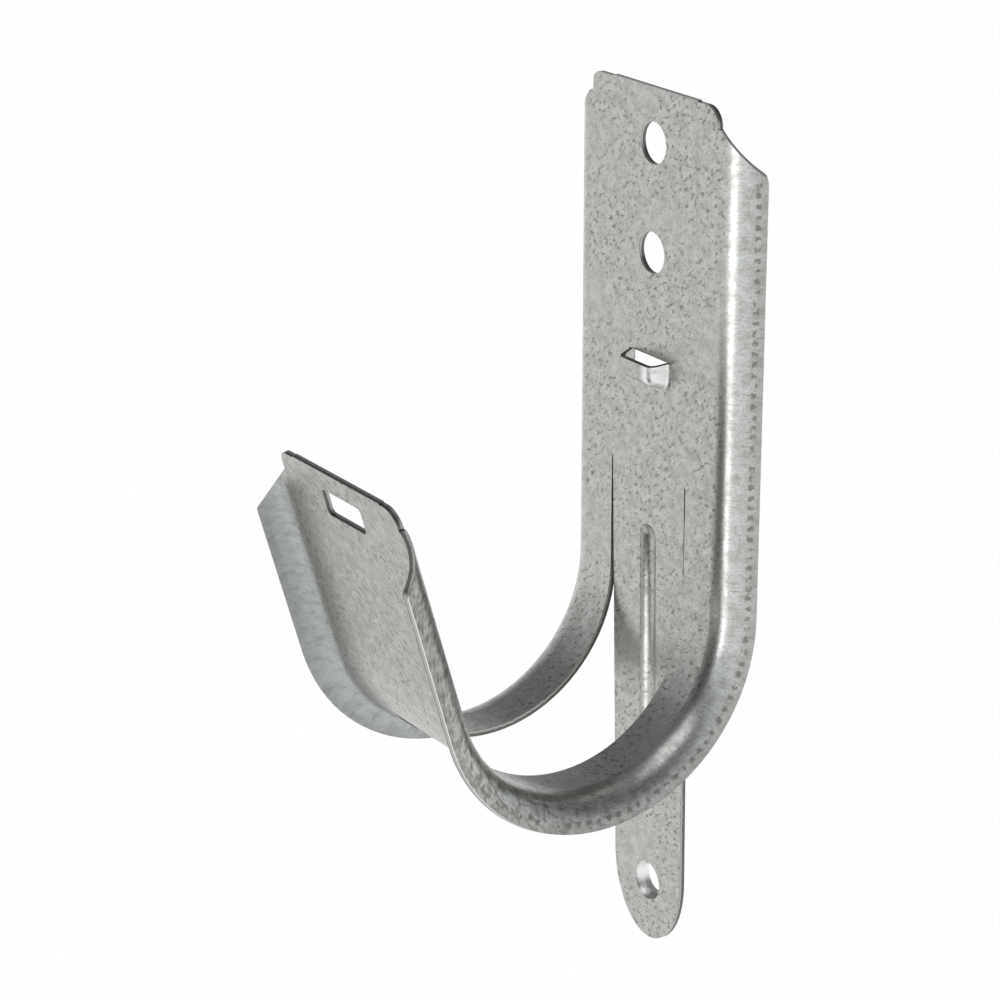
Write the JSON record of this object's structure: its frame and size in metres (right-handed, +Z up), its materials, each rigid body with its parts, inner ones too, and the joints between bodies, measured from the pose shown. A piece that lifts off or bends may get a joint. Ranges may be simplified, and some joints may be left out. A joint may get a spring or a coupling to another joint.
{
  "type": "cable support hook",
  "caption": "J-shaped hook stamped from galvanised sheet steel, screwed to a wall to carry bundles of cable in its wide rounded cradle.",
  "frame": {"origin": "midway between the two wall holes, on the plate face that the cables lie against", "axes": "+X along the cables, +Y into the wall, +Z up the plate"},
  "size_m": [0.0478, 0.0681, 0.1532],
  "materials": {
    "galvanised_steel": "hot-dip galvanised, matt with a faint mottle"
  },
  "bodies": {
    "root": {"hook": "galvanised_steel"}
  },
  "joints": []
}
